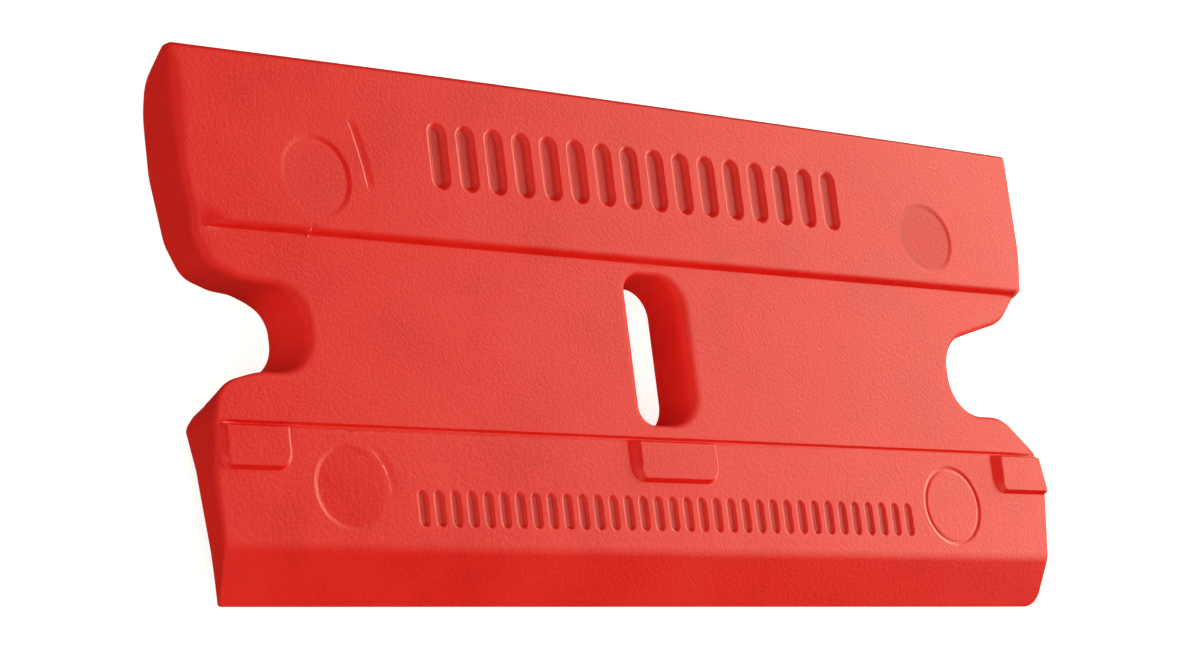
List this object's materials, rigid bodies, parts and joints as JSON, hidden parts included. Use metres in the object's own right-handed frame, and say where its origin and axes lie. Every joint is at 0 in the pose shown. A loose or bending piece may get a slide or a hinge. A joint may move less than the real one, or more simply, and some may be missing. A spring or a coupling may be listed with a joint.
{
  "type": "razor blade scraper",
  "caption": "Flat moulded plastic scraper blade with a thick spine, a slotted and notched web and a bevelled scraping edge.",
  "frame": {"origin": "on the surface that the flat back rests on, under the middle of the blade's outline", "axes": "+X along the blade, towards the rounded corner of the scraping edge; +Y from the scraping edge to the spine; +Z out of the front face"},
  "size_m": [0.0382, 0.0176, 0.0019],
  "materials": {
    "plastic": "satin, fine moulded grain"
  },
  "bodies": {
    "root": {"scraper_blade": "plastic"}
  },
  "joints": []
}
